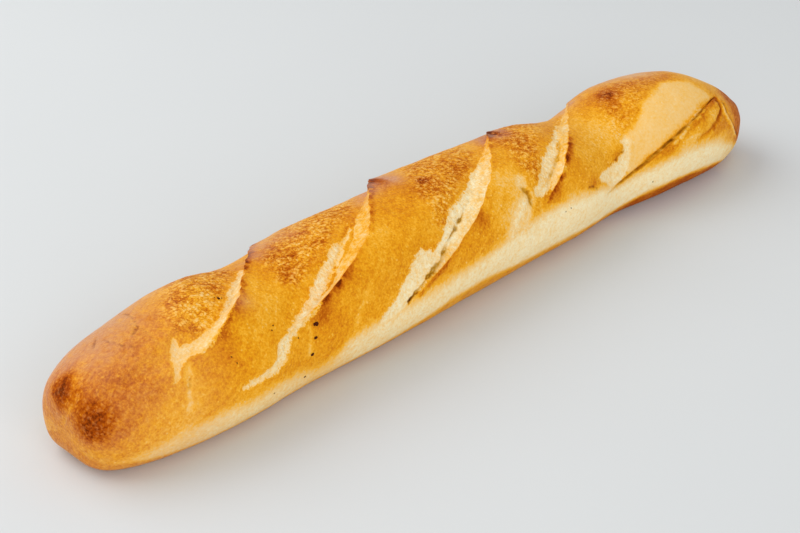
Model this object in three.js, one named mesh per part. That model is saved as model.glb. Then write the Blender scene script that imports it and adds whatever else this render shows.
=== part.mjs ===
// A scored baguette, lying on its flat sole, as one closed solid.
// Units are millimetres, +Z is up and the loaf runs along X: its round tip is at -X, its folded tip at +X.
// Its slashes open towards -Y. The origin is under the middle of the loaf's box, on the sole.
import * as THREE from "three";

// Driving dimensions
const loafLength = 450;
// Half widths, evenly spaced from the round tip to the folded tip: hand-shaped dough is never quite even.
const halfWidths = [32.9, 35.8, 38.3, 36, 37.6, 38.1, 38.2, 37.8, 37.1, 32.6, 36.8, 35.3, 26.2];
const heightShare = 0.74; // the crown's height over the full width
const waistShare = 0.42; // the height of the widest line over the crown's height
const soleShare = 0.55; // the flat sole's half width over the half width
const crownFullness = 2.15; // 2 makes the crown an ellipse, more makes it squarer
const tips = {
  round: { length: 94, fullness: 4 },
  folded: { length: 66, fullness: 4.5 },
};
const tipLift = 1.5; // how late the underside curls up towards a tip
const tipDrop = 0.9; // how the crown comes down with the half width
const bowAmount = { even: -4.2, toFoldedTip: -7.4 }; // the loaf's slight bend, sideways

// A place on the crust is (along, girth): millimetres from the round tip, and millimetres round from the
// crown, positive towards -Y, on a ring whose half girth is taken as halfGirth all along the loaf.
const halfGirth = 111;

// Each slash crosses the crown at "crown", and its raised edge, the ear, runs from girth "back" to "front".
// "lean" is how much the ear swings lengthwise on the way down. "opening" is the width of the hollow beside
// it and "sink" the hollow's depth, "lift" the ear's height and "settle" how far behind it the crust is raised.
const slashes = [
  { crown: 103, lean: 0.05, back: -36, front: 31, opening: 26, lift: 1.6, sink: 3.6, settle: 18 },
  { crown: 183, lean: 0.05, back: -38, front: 42, opening: 20, lift: 3.4, sink: 2, settle: 32 },
  { crown: 268, lean: 0.022, back: -28, front: 54, opening: 24, lift: 1.2, sink: 2.8, settle: 20 },
  { crown: 328, lean: 0.012, back: -38, front: 43, opening: 18, lift: 1.7, sink: 0.6, settle: 22 },
  { crown: 458, lean: 0.041, back: 22, front: 56, opening: 24, lift: 1.5, sink: 1.4, settle: 22 },
];
const straightGirth = 10; // the ears run straight over the crown as far as here
const slashTaper = 12; // girth over which a slash fades in and out

// Two creases where the dough was folded over at the folded tip, as (along, girth) points
const creases = [
  { path: [[424, 29], [414, 36], [407, 43], [400, 49]], depth: 1.6, width: 3.4 },
  { path: [[429, 27], [426, 38], [430, 49], [436, 62]], depth: 1.2, width: 3 },
];

// Mesh spacing
const rowGirths = { crownStep: 4.6, crownEdge: 60, flankStep: 7.5, soleEdge: 90, soleRows: 3 };
const stretchColumns = [20, 16, 16, 13, 18, 13]; // columns from tip to ear, from ear to ear, and to the tip
const crowding = 0.8; // how much closer together the columns are beside an ear or a tip, from 0 to 1
const sectionSteps = 48; // points along a quarter of a section

// A smooth curve through evenly spaced values, at t from 0 to 1.
function smoothValue(values, t) {
  const place = Math.min(Math.max(t, 0), 1) * (values.length - 1);
  const i = Math.min(Math.floor(place), values.length - 2);
  const at = (k) => values[Math.min(Math.max(k, 0), values.length - 1)];
  const [a, b, c, d] = [at(i - 1), at(i), at(i + 1), at(i + 2)];
  const f = place - i;
  return b + 0.5 * f * (c - a + f * (2 * a - 5 * b + 4 * c - d + f * (3 * (b - c) + d - a)));
}

function smoothStep(low, high, x) {
  const t = Math.min(Math.max((x - low) / (high - low), 0), 1);
  return t * t * (3 - 2 * t);
}

// How full the section is, from 0 at a tip to 1 along the body.
function fullness(along) {
  const taper = (distance, tip) => {
    const gone = Math.max(1 - distance / tip.length, 0);
    return Math.max(1 - gone ** tip.fullness, 0) ** (1 / tip.fullness);
  };
  return taper(along, tips.round) * taper(loafLength - along, tips.folded);
}

// How far the loaf's middle line bends sideways.
function bowAt(along) {
  const t = (2 * along) / loafLength - 1;
  return bowAmount.even * (t * t - 1 / 3) + bowAmount.toFoldedTip * (t ** 3 - 0.6 * t);
}

// Half a section of unit half width and height, from the crown over the waist to the middle of the sole.
function unitSection() {
  const points = [];
  for (let i = 0; i <= sectionSteps; i++) {
    const a = (Math.PI / 2) * (i / sectionSteps);
    const power = 2 / crownFullness;
    points.push([Math.sin(a) ** power, waistShare + (1 - waistShare) * Math.max(Math.cos(a), 0) ** power]);
  }
  for (let i = 1; i <= sectionSteps; i++) {
    const a = (Math.PI / 2) * (i / sectionSteps);
    points.push([soleShare + (1 - soleShare) * Math.cos(a), waistShare * (1 - Math.sin(a))]);
  }
  points.push([0, 0]);
  return points;
}

const section = unitSection();
const sectionAspect = 2 * heightShare; // height over half width, to measure the section at its true shape
const sectionLengths = [0];
for (let i = 1; i < section.length; i++) {
  const dy = section[i][0] - section[i - 1][0];
  const dz = (section[i][1] - section[i - 1][1]) * sectionAspect;
  sectionLengths.push(sectionLengths[i - 1] + Math.hypot(dy, dz));
}

// The unit section's (side, height) at a share of the half girth, 0 at the crown and 1 under the middle.
function sectionPoint(share) {
  const wanted = share * sectionLengths[sectionLengths.length - 1];
  let i = 1;
  while (i < section.length - 1 && sectionLengths[i] < wanted) i++;
  const f = (wanted - sectionLengths[i - 1]) / (sectionLengths[i] - sectionLengths[i - 1]);
  return [0, 1].map((k) => section[i - 1][k] + f * (section[i][k] - section[i - 1][k]));
}

// The smooth loaf, before it is slashed.
function smoothPlace(along, girth) {
  const share = Math.min(Math.abs(girth) / halfGirth, 1);
  const [side, height] = sectionPoint(share);
  const halfWidth = smoothValue(halfWidths, along / loafLength);
  const full = fullness(along);
  const crown = 2 * halfWidth * heightShare;
  const low = crown * waistShare * (1 - full) ** tipLift;
  const high = crown * (waistShare + (1 - waistShare) * full ** tipDrop);
  return new THREE.Vector3(
    along - loafLength / 2,
    bowAt(along) - Math.sign(girth) * side * halfWidth * full,
    low + (high - low) * height,
  );
}

// Outward normal of the smooth loaf.
function smoothNormal(along, girth) {
  const step = 0.5;
  const inside = THREE.MathUtils.clamp(along, step, loafLength - step);
  const lengthwise = smoothPlace(inside + step, girth).sub(smoothPlace(inside - step, girth));
  const around = smoothPlace(inside, girth + step).sub(smoothPlace(inside, girth - step));
  return around.cross(lengthwise).normalize();
}

// Where a slash's ear is at a girth, and how far it runs lengthwise for each millimetre of girth there.
function earAt(slash, girth) {
  const g = THREE.MathUtils.clamp(girth, slash.back, slash.front);
  const swing = Math.max(g - straightGirth, 0);
  return {
    along: slash.crown - g - slash.lean * swing * swing,
    slope: 1 + 2 * slash.lean * swing,
  };
}

// Height of the crust over the smooth loaf: sunk before a slash's ear, lifted behind it.
function slashRelief(slash, along, girth) {
  const ear = earAt(slash, girth);
  const across = (along - ear.along) / Math.hypot(1, ear.slope);
  const fadeIn = smoothStep(slash.back, slash.back + slashTaper, girth);
  const fadeOut = smoothStep(slash.front - slashTaper, slash.front, girth);
  const fade = fadeIn * (1 - fadeOut);
  if (across > 0) return fade * slash.lift * Math.exp(-((across / slash.settle) ** 2));
  return -fade * slash.sink * Math.max(1 + across / slash.opening, 0);
}

function creaseRelief(crease, along, girth) {
  let nearest = Infinity;
  for (let i = 1; i < crease.path.length; i++) {
    const [[a0, g0], [a1, g1]] = [crease.path[i - 1], crease.path[i]];
    const [da, dg] = [a1 - a0, g1 - g0];
    const t = THREE.MathUtils.clamp(((along - a0) * da + (girth - g0) * dg) / (da * da + dg * dg), 0, 1);
    nearest = Math.min(nearest, Math.hypot(along - a0 - t * da, girth - g0 - t * dg));
  }
  return -crease.depth * Math.exp(-((nearest / crease.width) ** 2));
}

function crustPlace(along, girth) {
  let height = 0;
  for (const slash of slashes) height += slashRelief(slash, along, girth);
  for (const crease of creases) height += creaseRelief(crease, along, girth);
  return smoothPlace(along, girth).addScaledVector(smoothNormal(along, girth), height);
}

// Girths of the mesh's rows, from the middle of the sole round over the crown and back to it.
function rows() {
  const side = [];
  const { crownStep, crownEdge, flankStep, soleEdge, soleRows } = rowGirths;
  const crownRows = Math.round(crownEdge / crownStep);
  for (let i = 0; i <= crownRows; i++) side.push((crownEdge * i) / crownRows);
  const flankRows = Math.round((soleEdge - crownEdge) / flankStep);
  for (let i = 1; i <= flankRows; i++) side.push(crownEdge + ((soleEdge - crownEdge) * i) / flankRows);
  for (let i = 1; i < soleRows; i++) side.push(soleEdge + ((halfGirth - soleEdge) * i) / soleRows);
  return [...side.slice(1).reverse().map((g) => -g), ...side];
}

// The line that parts the mesh's columns at each slash: its ear, led back to one place under the sole.
function guideAt(slash, girth) {
  const home = Math.min(slash.crown, earAt(slash, slash.back).along);
  const end = Math.abs(girth > 0 ? slash.front : slash.back);
  const past = Math.max(Math.abs(girth) - end, 0) / (halfGirth - end);
  const ear = earAt(slash, girth).along;
  return ear + (home - ear) * smoothStep(0, 1, past);
}

// Places along the loaf of one row's vertices, closest together beside the ears and at the tips.
function columns(girth) {
  const guides = [0, ...slashes.map((slash) => guideAt(slash, girth)), loafLength];
  return stretchColumns.flatMap((count, k) =>
    Array.from({ length: count }, (_, i) => {
      const t = (i + 0.5) / count;
      const share = t - (crowding * Math.sin(2 * Math.PI * t)) / (2 * Math.PI);
      return guides[k] + (guides[k + 1] - guides[k]) * share;
    }),
  );
}

function loafGeometry() {
  const girths = rows();
  const lines = girths.map((girth) => columns(girth).map((along) => crustPlace(along, girth)));
  const [rowCount, columnCount] = [girths.length, lines[0].length];
  const points = lines.flat();
  const roundTip = points.push(smoothPlace(0, 0)) - 1;
  const foldedTip = points.push(smoothPlace(loafLength, 0)) - 1;
  const faces = [];
  const at = (row, column) => (row % rowCount) * columnCount + column;
  for (let row = 0; row < rowCount; row++) {
    for (let column = 1; column < columnCount; column++) {
      const [a, b] = [at(row, column - 1), at(row, column)];
      const [c, d] = [at(row + 1, column), at(row + 1, column - 1)];
      faces.push(a, d, b, b, d, c);
    }
    faces.push(roundTip, at(row + 1, 0), at(row, 0));
    faces.push(foldedTip, at(row, columnCount - 1), at(row + 1, columnCount - 1));
  }
  const geometry = new THREE.BufferGeometry();
  const places = points.flatMap((point) => point.toArray());
  geometry.setAttribute("position", new THREE.Float32BufferAttribute(places, 3));
  geometry.setIndex(faces);
  geometry.computeBoundingBox();
  const middle = geometry.boundingBox.getCenter(new THREE.Vector3());
  geometry.translate(-middle.x, -middle.y, -geometry.boundingBox.min.z);
  geometry.computeVertexNormals();
  return geometry;
}

const crust = new THREE.MeshStandardMaterial({ color: 0xe3a33c, roughness: 0.5, metalness: 0 });
const loaf = new THREE.Mesh(loafGeometry(), crust);
loaf.name = "loaf";

const baguette = new THREE.Group();
baguette.add(loaf);
export default baguette;
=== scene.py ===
import math
import bpy
import numpy as np
from mathutils import Matrix, Vector, noise
from mathutils.geometry import delaunay_2d_cdt


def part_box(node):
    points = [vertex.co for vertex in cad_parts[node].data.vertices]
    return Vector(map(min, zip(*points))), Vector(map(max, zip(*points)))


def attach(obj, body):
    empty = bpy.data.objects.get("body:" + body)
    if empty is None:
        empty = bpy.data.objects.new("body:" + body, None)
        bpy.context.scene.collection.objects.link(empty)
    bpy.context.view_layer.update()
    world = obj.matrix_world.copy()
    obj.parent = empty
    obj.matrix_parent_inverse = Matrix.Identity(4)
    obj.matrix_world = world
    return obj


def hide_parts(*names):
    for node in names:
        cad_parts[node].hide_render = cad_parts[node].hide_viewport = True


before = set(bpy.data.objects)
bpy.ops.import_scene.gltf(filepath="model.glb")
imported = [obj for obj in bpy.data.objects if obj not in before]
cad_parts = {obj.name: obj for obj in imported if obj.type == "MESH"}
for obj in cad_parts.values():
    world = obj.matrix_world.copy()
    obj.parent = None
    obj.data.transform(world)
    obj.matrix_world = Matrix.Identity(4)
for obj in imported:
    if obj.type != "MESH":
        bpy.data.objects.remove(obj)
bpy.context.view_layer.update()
mm = 0.001  # sizes below are in millimetres
boxLow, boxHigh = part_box("loaf")

# A place on the crust is (along, girth): along from the round tip, and girth round from the crown,
# positive towards -Y, on a ring whose half girth is taken as the same all along the loaf.
loaf = {
    "length": 450,
    # half widths, evenly spaced from the round tip to the folded tip
    "halfWidths": [32.9, 35.8, 38.3, 36, 37.6, 38.1, 38.2, 37.8, 37.1, 32.6, 36.8, 35.3, 26.2],
    "heightShare": 0.74,  # crown height over full width
    "waistShare": 0.42,  # height of the widest line over the crown height
    "soleShare": 0.55,  # the flat sole's half width over the half width
    "crownFullness": 2.15,
    "roundTip": (94, 4),  # length of the taper and how blunt it is
    "foldedTip": (66, 4.5),
    "tipLift": 1.5,
    "tipDrop": 0.9,
    "bend": (-4.2, -7.4),  # sideways bend, even and towards the folded tip
    "halfGirth": 111,
    "step": 1.02,  # distance between mesh points
    "soleStep": 3,
    "soleEdge": 84,  # girth past which the mesh is coarse
    "earStep": 0.7,
    "tipRing": 0.08,  # fullness of the last ring before a tip's closing point
    "crackRows": (-1.5, -0.9, -0.4, 0, 0.4, 0.9, 1.5),  # mesh rows beside the crack in the third slash
    "crackMargin": 1.9,  # how far the even mesh keeps from them
    "lumps": (36, 0.7),  # size and height of the dough's unevenness
    "dimples": (9, 0.22),
    "crumbs": (2.3, 0.3),
    "uneven": (14, 2),  # size and octaves of the unevenness that edges and baking follow
    "grain": (3.4, 2),
    "soleFade": (74, 88),  # girths over which the relief ends
}

# Each slash has an ear, its raised edge, and on the round tip's side of it a hollow of opened dough. The
# ear crosses the crown at "crown", runs from girth "back" to girth "front" and swings over by "lean".
# "hollow" and "settle" are how far the sunk and the lifted crust reach. Pairs are (girth, value) along the
# ear: how wide the wall up to it is, how far it curls over that, and how baked its edge and the wall are.
slashes = [
    {"crown": 103, "lean": 0.05, "back": -36, "front": 31,
     "hollow": 26, "lift": 1.6, "sink": 3.6, "settle": 18,
     "wall": [(-36, 1), (-10, 3), (10, 4), (22, 4.5), (31, 4)],
     "curl": [(-36, 0), (-28, 1), (12, 1), (26, 0.2)],
     "edge": [(-36, 0.4), (-28, 0.9), (-6, 0.8), (10, 0.75), (27, 0.6), (31, 0)],
     "wallBake": [(-36, 0.45), (-20, 0.4), (-8, 0.26), (31, 0.2)]},
    {"crown": 183, "lean": 0.05, "back": -38, "front": 42,
     "hollow": 20, "lift": 3.4, "sink": 2, "settle": 32,
     "wall": [(-38, 1), (-14, 4), (4, 8), (20, 6), (27, 2), (42, 2)],
     "curl": [(-38, 0), (-30, 1.4), (-4, 0.8), (8, 0.1), (24, 0.3), (31, 1), (38, 0.3)],
     "edge": [(-38, 0.5), (-30, 1.1), (-8, 0.9), (2, 0.35), (18, 0.15), (27, 0.3),
              (29.5, 1.1), (34, 0.9), (37, 0.15), (42, 0)],
     "wallBake": [(-38, 0.5), (-14, 0.42), (-4, 0.41), (10, 0.38), (20, 0.35), (27, 0.27), (42, 0.24)]},
    {"crown": 268, "lean": 0.022, "back": -28, "front": 54,
     "hollow": 24, "lift": 1.2, "sink": 2.8, "settle": 20,
     "wall": [(-28, 1), (-4, 4), (8, 9), (20, 11), (36, 8), (54, 4)],
     "curl": [(-28, 0), (-20, 1), (-6, 0.6), (2, 0)],
     "edge": [(-28, 0.6), (-20, 1.2), (-8, 1), (-1, 0.4), (6, 0.08), (24, 0), (32, 0.2), (40, 0.1),
              (54, 0)],
     "wallBake": [(-28, 0.42), (-10, 0.4), (1, 0.36), (6, 0.27), (10, 0.22), (20, 0.18), (54, 0.16)]},
    {"crown": 328, "lean": 0.012, "back": -38, "front": 43,
     "hollow": 18, "lift": 1.7, "sink": 0.6, "settle": 22,
     "wall": [(-38, 1), (-28, 3), (-10, 4.5), (8, 6), (22, 5), (36, 2.4), (43, 1.5)],
     "curl": [(-38, 0), (-30, 0.7), (-16, 0.3), (8, 0), (16, 0.6), (36, 0.7), (42, 0)],
     "edge": [(-38, 0), (-30, 0.25), (-14, 0.1), (10, 0.08), (16, 0.5), (22, 0.7), (37, 0.8), (41, 0.4),
              (43, 0)],
     "wallBake": [(-38, 0.4), (-20, 0.33), (-8, 0.27), (6, 0.27), (20, 0.35), (27, 0.28), (43, 0.22)]},
    {"crown": 458, "lean": 0.041, "back": 22, "front": 56,
     "hollow": 24, "lift": 1.5, "sink": 1.4, "settle": 22,
     "wall": [(22, 0.6), (30, 1.4), (46, 1.4), (56, 0.8)],
     "curl": [(22, 0), (28, 0.5), (44, 0.5), (52, 0)],
     "edge": [(22, 0), (56, 0)],
     "wallBake": 0.34},
]
slashShape = {
    "straightGirth": 10,  # girth past which an ear swings over
    "taper": 12,  # girth over which a slash starts and ends
    "climb": 1.6,  # how hollow the wall is
    "rollBack": 5,  # how far behind the ear its lip bends
    "lip": 0.7,  # extra height of a baked edge
    "lipReach": 2.4,
    "edgeReach": 1.9,
    "raggedness": 0.8,
    "rows": [-4.6, -3.9, -3.3, -2.75, -2.25, -1.8, -1.4, -1, -0.65, -0.35, -0.12,
             0.1, 0.35, 0.7, 1.15, 1.7, 2.4, 3.2],  # mesh rows beside an ear
    "margin": 0.6,  # how far the even mesh keeps from them
}

# The slit beside the last ear: pairs are (girth, half width)
slit = {
    "halfWidth": [(24, 0.3), (27, 0.45), (31, 0.4), (36, 0.7), (46, 0.8), (50, 0.5), (54, 0.3)],
    "raggedness": 0.2, "depth": 1.1, "start": (24, 27), "end": (51, 55),
}

# How baked the crust is by rule, from 0 for pale dough to 1 for char, with the painted sheen on the round
# tip and how much painted shade browns cracks. The crown, the round tip and the like are added to the plain
# crust, and pairs are where such a change starts and ends.
baking = {
    "crust": 0.5,
    "uneven": 0.045,
    "crown": 0.04, "crownStart": (60, 95), "crownEnd": (410, 440), "crownGirth": (6, 26),
    "roundTip": 0.09, "roundTipEnd": (24, 60), "roundTipGirth": (48, 64),
    "edge": 0.42,  # at the ears' edges
    # painted shade: how much browner cracks and creases are drawn
    "crack": 0.45,
    "wall": 0.25,  # bared dough where no slash or area says
    "paleStreak": 0.18,
    # painted sheen on the round tip and where it ends, and the bake past which crust gets no painted sheen
    "tipPaintedSheen": 0.25, "tipPaintedSheenEnd": (40, 75),
    "paintedSheenEnd": (0.66, 0.82),  # darker crust has no bloom
    "tipBlister": 0.25, "tipBlisterEnd": (30, 70),
}

# Dough that the slashes laid bare, and other parts of their own colour, as outlines of (along, girth):
# "soft" is how gradually the edge fades, "bake" how brown the inside is, "pale" how floury, "depth" how
# sunken and "crumb" how rough.
areas = {
    "bandOne": {"soft": 1.4, "bake": 0.18, "pale": 0.6, "depth": 0, "crumb": 1, "outline": [
        (50, 21), (56, 22), (65, 21), (73, 18), (80, 13), (86, 8), (92, 2), (100, -5), (108, -13),
        (113, -14), (106, -5), (99, 2), (92, 9), (84, 15.5), (77, 20), (70, 24), (63, 27.5), (56, 29),
        (49, 28)]},
    "flagOne": {"soft": 1.5, "bake": 0.22, "pale": 1, "depth": 0.4, "crumb": 0.7, "outline": [
        (50, 14), (46, 19), (43, 24), (41, 30), (39, 36), (42, 35), (45, 30.5), (50, 28.5), (58, 28),
        (66, 24.5), (64, 22), (56, 22), (50.5, 20)]},
    "bandTwo": {"soft": 1.8, "bake": 0.14, "pale": 1, "depth": 0.5, "crumb": 1, "outline": [
        (168, 0), (158, 7), (150, 10), (141, 14.5), (133, 18.5), (124, 24), (115, 30.5), (106, 35),
        (97, 38), (92, 41), (90, 46), (86, 49.5), (78, 50.5), (70, 52), (63, 55), (70, 54.5), (78, 55),
        (86, 54), (92, 52), (97, 48), (101, 43), (108, 39.5), (115, 37), (122, 34), (128, 30), (134, 26),
        (140, 21.5), (148, 16), (156, 12), (165, 6)]},
    "bandThree": {"soft": 2, "bake": 0.07, "pale": 1, "depth": 0.2, "crumb": 1, "outline": [
        (258, 4), (253, 6.5), (247, 8), (238, 13), (230, 17.5), (222, 20.5), (214, 23.5), (207, 28),
        (201, 33), (195, 37), (196, 42), (205, 38.5), (213, 34), (221, 29.5), (229, 25), (237, 19.5),
        (245, 13.5), (253, 7.5)]},
    "branchThree": {"soft": 2, "bake": 0.1, "pale": 1, "depth": 0.3, "crumb": 0.8, "outline": [
        (192, 34.5), (186, 32.5), (181, 35), (176, 40), (170, 45), (163, 49.5), (154, 54), (150, 58),
        (160, 59), (172, 54.5), (180, 50), (188, 46.5), (196, 42), (196, 38)]},
    "bandFour": {"soft": 1.4, "bake": 0.14, "pale": 1, "depth": 0.6, "crumb": 1, "outline": [
        (334, -15), (326, -8), (318, 0), (310, 6), (301, 10.5), (293, 15.5), (286, 20.5), (280, 26),
        (275, 30.5), (269, 33), (268, 36), (273, 38), (279, 36), (286, 31.5), (293, 26.5), (299, 21),
        (305, 15.5), (311, 9), (319, 0), (327, -8), (337, -17)]},
    "apronFour": {"soft": 3.6, "bake": 0.2, "pale": 0.9, "depth": 0.1, "crumb": 0.6, "outline": [
        (267, 20), (262, 21.5), (259, 26), (260, 31), (255, 34), (248, 37), (244, 41), (240, 47), (246, 52),
        (256, 50), (260, 44), (263, 40), (266, 38), (264, 31), (267, 26)]},
    "leaf": {"soft": 3, "bake": 0.26, "pale": 0.9, "depth": 0, "crumb": 0, "outline": [
        (417, 25), (417, 17), (413, 8.5), (405, 5.5), (393, 5), (385, 7.5), (378, 11.5), (370, 16),
        (362, 21), (356, 24), (349, 25), (344, 27), (346, 31), (341, 35), (337, 38), (343, 48), (352, 46),
        (362, 43), (372, 40.5), (380, 37), (388, 34.5), (398, 31), (408, 28)]},
    "leafLobe": {"soft": 2, "bake": 0.12, "pale": 1, "depth": 0.3, "crumb": 0.6, "outline": [
        (343, 27), (349, 26), (350, 31), (346, 38), (343, 44), (340, 48), (333, 52), (327, 53.5), (324, 48),
        (317, 42), (321, 39), (330, 38.5), (337, 38), (342, 34), (345, 30)]},
    "lipFive": {"soft": 1.2, "bake": 0.22, "pale": 0.7, "depth": -0.3, "crumb": 1, "outline": [
        (404, 31), (395, 34), (386, 37.5), (377, 41), (370, 44.5), (380, 42.5), (388, 39), (396, 36),
        (404, 33)]},
    "facet": {"soft": 3.4, "bake": 0.63, "pale": 0, "depth": 0.5, "crumb": 0, "outline": [
        (419, 35), (422, 41), (425, 47), (420, 49.5), (412, 48), (405, 46), (412, 42)]},
    "cap": {"soft": 6, "bake": 0.75, "pale": 0, "depth": 0, "crumb": 0, "outline": [
        (429, 36), (434, 20), (441, 4), (450, -12), (450, 70), (443, 66), (435, 59), (430, 50)]},
}

# Crust that blistered finely: how much, and an outline of (along, girth)
blisteredAreas = [
    (1, [(52, 14), (60, 19), (70, 17), (80, 11), (92, 1), (100, -7), (108, -15), (104, -26), (85, -26),
        (70, -20), (58, -8)]),
    (0.95, [(110, 14), (117, 21), (128, 17), (140, 10), (155, 3), (168, -5), (184, -13), (194, -26),
        (146, -28), (130, -18), (118, -4)]),
    (0.9, [(199, 34), (206, 27), (215, 22), (228, 15), (242, 8), (256, 0), (264, -10), (270, -24),
        (228, -26), (218, -13), (212, -2), (207, 10), (203, 22)]),
    (0.85, [(268, 26), (275, 30), (282, 24), (290, 16), (300, 8), (309, 0), (316, -10), (322, -24),
        (292, -26), (280, -10), (274, 2), (269, 14)]),
    (0.55, [(346, 28), (356, 23), (368, 16), (378, 9), (388, 3), (400, 0), (412, -10), (374, -22),
        (362, -14), (352, 0), (346, 12), (341, 22)]),
]

# Narrow tears, creases and pale or baked lines as paths of (along, girth); where a path has a dark amount,
# painted shade darkens its inside. Where a value has pairs, they run along the path from 0 to 1.
streaks = {
    "tailOne": {"path": [(48, 32), (45, 37), (43, 43), (41.5, 50)], "width": 1.4, "depth": 0.3,
        "pale": 0.75},
    "tailOneCrack": {"path": [(46, 36), (44, 41)], "width": 0.6, "depth": 0.5, "paintedShade": 0.45},
    "flankStreakA": {"path": [(113, 41), (110.5, 48), (109.5, 54)], "width": 1.2, "depth": 0.2,
        "pale": 0.5},
    "flankStreakB": {"path": [(151, 37), (143, 45), (138, 52)], "width": 1.8, "depth": 0.2, "pale": 0.4},
    "bandThreeCrack": {"path": [(231, 22.5), (225, 25), (219, 28.5), (213, 31.5), (205, 35.5), (196, 43),
        (186, 47), (177, 51), (171, 53.8)], "width": 0.75, "depth": 0.7, "paintedShade": [(0, 0), (0.18, 0),
        (0.24, 0.9), (0.31, 0.9), (0.35, 0.1), (0.4, 0.9), (0.47, 0.6), (0.52, 0), (0.58, 0.9), (0.66, 0.6),
        (0.74, 0.9), (0.85, 0.4), (0.92, 0.9), (1, 1.6)]},
    "bandFourSeam": {"path": [(279, 33), (290, 27), (300, 20), (310, 11)], "width": 0.9, "depth": 0.4,
        "bake": 0.06, "paintedShade": [(0, 0.1), (0.15, 0.45), (0.3, 0.1), (0.45, 0.4), (0.7, 0.25), (1, 0)]},
    "bandTwoSeam": {"path": [(134, 24.5), (146, 16.5), (158, 8), (166, 2)], "width": 1.3, "depth": 0.3,
        "bake": 0.14},
    "tipFold": {"path": [(43, -18), (45, -4), (44, 14)], "width": 1.3, "depth": 0.3, "bake": -0.06},
    "wrinkleA": {"path": [(30, -16), (26.5, -13), (22, -7)], "width": 0.5, "depth": 0.35, "paintedShade": 0.35},
    "wrinkleB": {"path": [(49.5, -27), (47, -12), (44, -3), (38.5, 1)], "width": 0.5, "depth": 0.35,
        "paintedShade": 0.4},
    "wrinkleC": {"path": [(29, -10), (31.5, 3), (36, 10)], "width": 0.5, "depth": 0.3, "paintedShade": 0.3},
    "bandThreeFarLip": {"path": [(205, 38), (197, 45.5), (187, 49.5), (178, 53.5)], "width": 1.4,
        "depth": -0.4, "bake": 0.2},
    "bandFourPocket": {"path": [(262, 30), (264, 34), (263, 39)], "width": 1.3, "depth": 0.9, "paintedShade": 0.55},
    "apronStreak": {"path": [(257, 37), (251, 42), (246, 47.5)], "width": 1.8, "depth": -0.3,
        "bake": -0.06},
    "bandFourDrip": {"path": [(270, 39), (269, 44), (268, 49)], "width": 0.9, "depth": 0.2, "pale": 0.5},
    "slitLip": {"path": [(421, 27), (411, 31), (401, 35), (392, 38.3), (384, 41.5), (374, 44), (366, 46.5)],
        "width": 1.7, "depth": 0.3, "bake": [(0, 0.3), (0.3, 0.18), (0.6, 0.16), (1, 0.08)]},
    "foldA": {"path": [(421, 28), (418, 35.5), (410, 41.5), (401, 45), (391, 47.5)], "width": 1.2,
        "depth": 1.2, "bake": [(0, 0.34), (0.6, 0.28), (1, 0.05)], "paintedShade": [(0, 0.3), (0.5, 0.15), (1, 0)]},
    "foldRim": {"path": [(420.5, 31), (420, 38), (424.5, 46), (432, 57)], "width": 1.2, "depth": -0.5,
        "bake": -0.26},
    "foldLine": {"path": [(423, 32), (422.6, 38), (427, 45.5), (435, 57)], "width": 0.9, "depth": 0.5,
        "paintedShade": 0.4},
    "sideCrack": {"path": [(307, 45), (310, 45.2), (313, 47.4)], "width": 0.9, "depth": 0.4, "paintedShade": 0.6},
    "lobeCrack": {"path": [(331, 37.5), (336, 36), (340, 33.5), (344, 33.4)], "width": 0.9, "depth": 0.4,
        "paintedShade": 0.45},
    "tipCrease": {"path": [(16, -6), (9, 0), (4, 6), (1.5, 13)], "width": 4, "depth": 0.6, "bake": -0.14},
    "crownLine": {"path": [(360, -7), (372, -5), (390, -2), (412, -2)], "width": 6, "depth": 0,
        "bake": 0.09},
}
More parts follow.
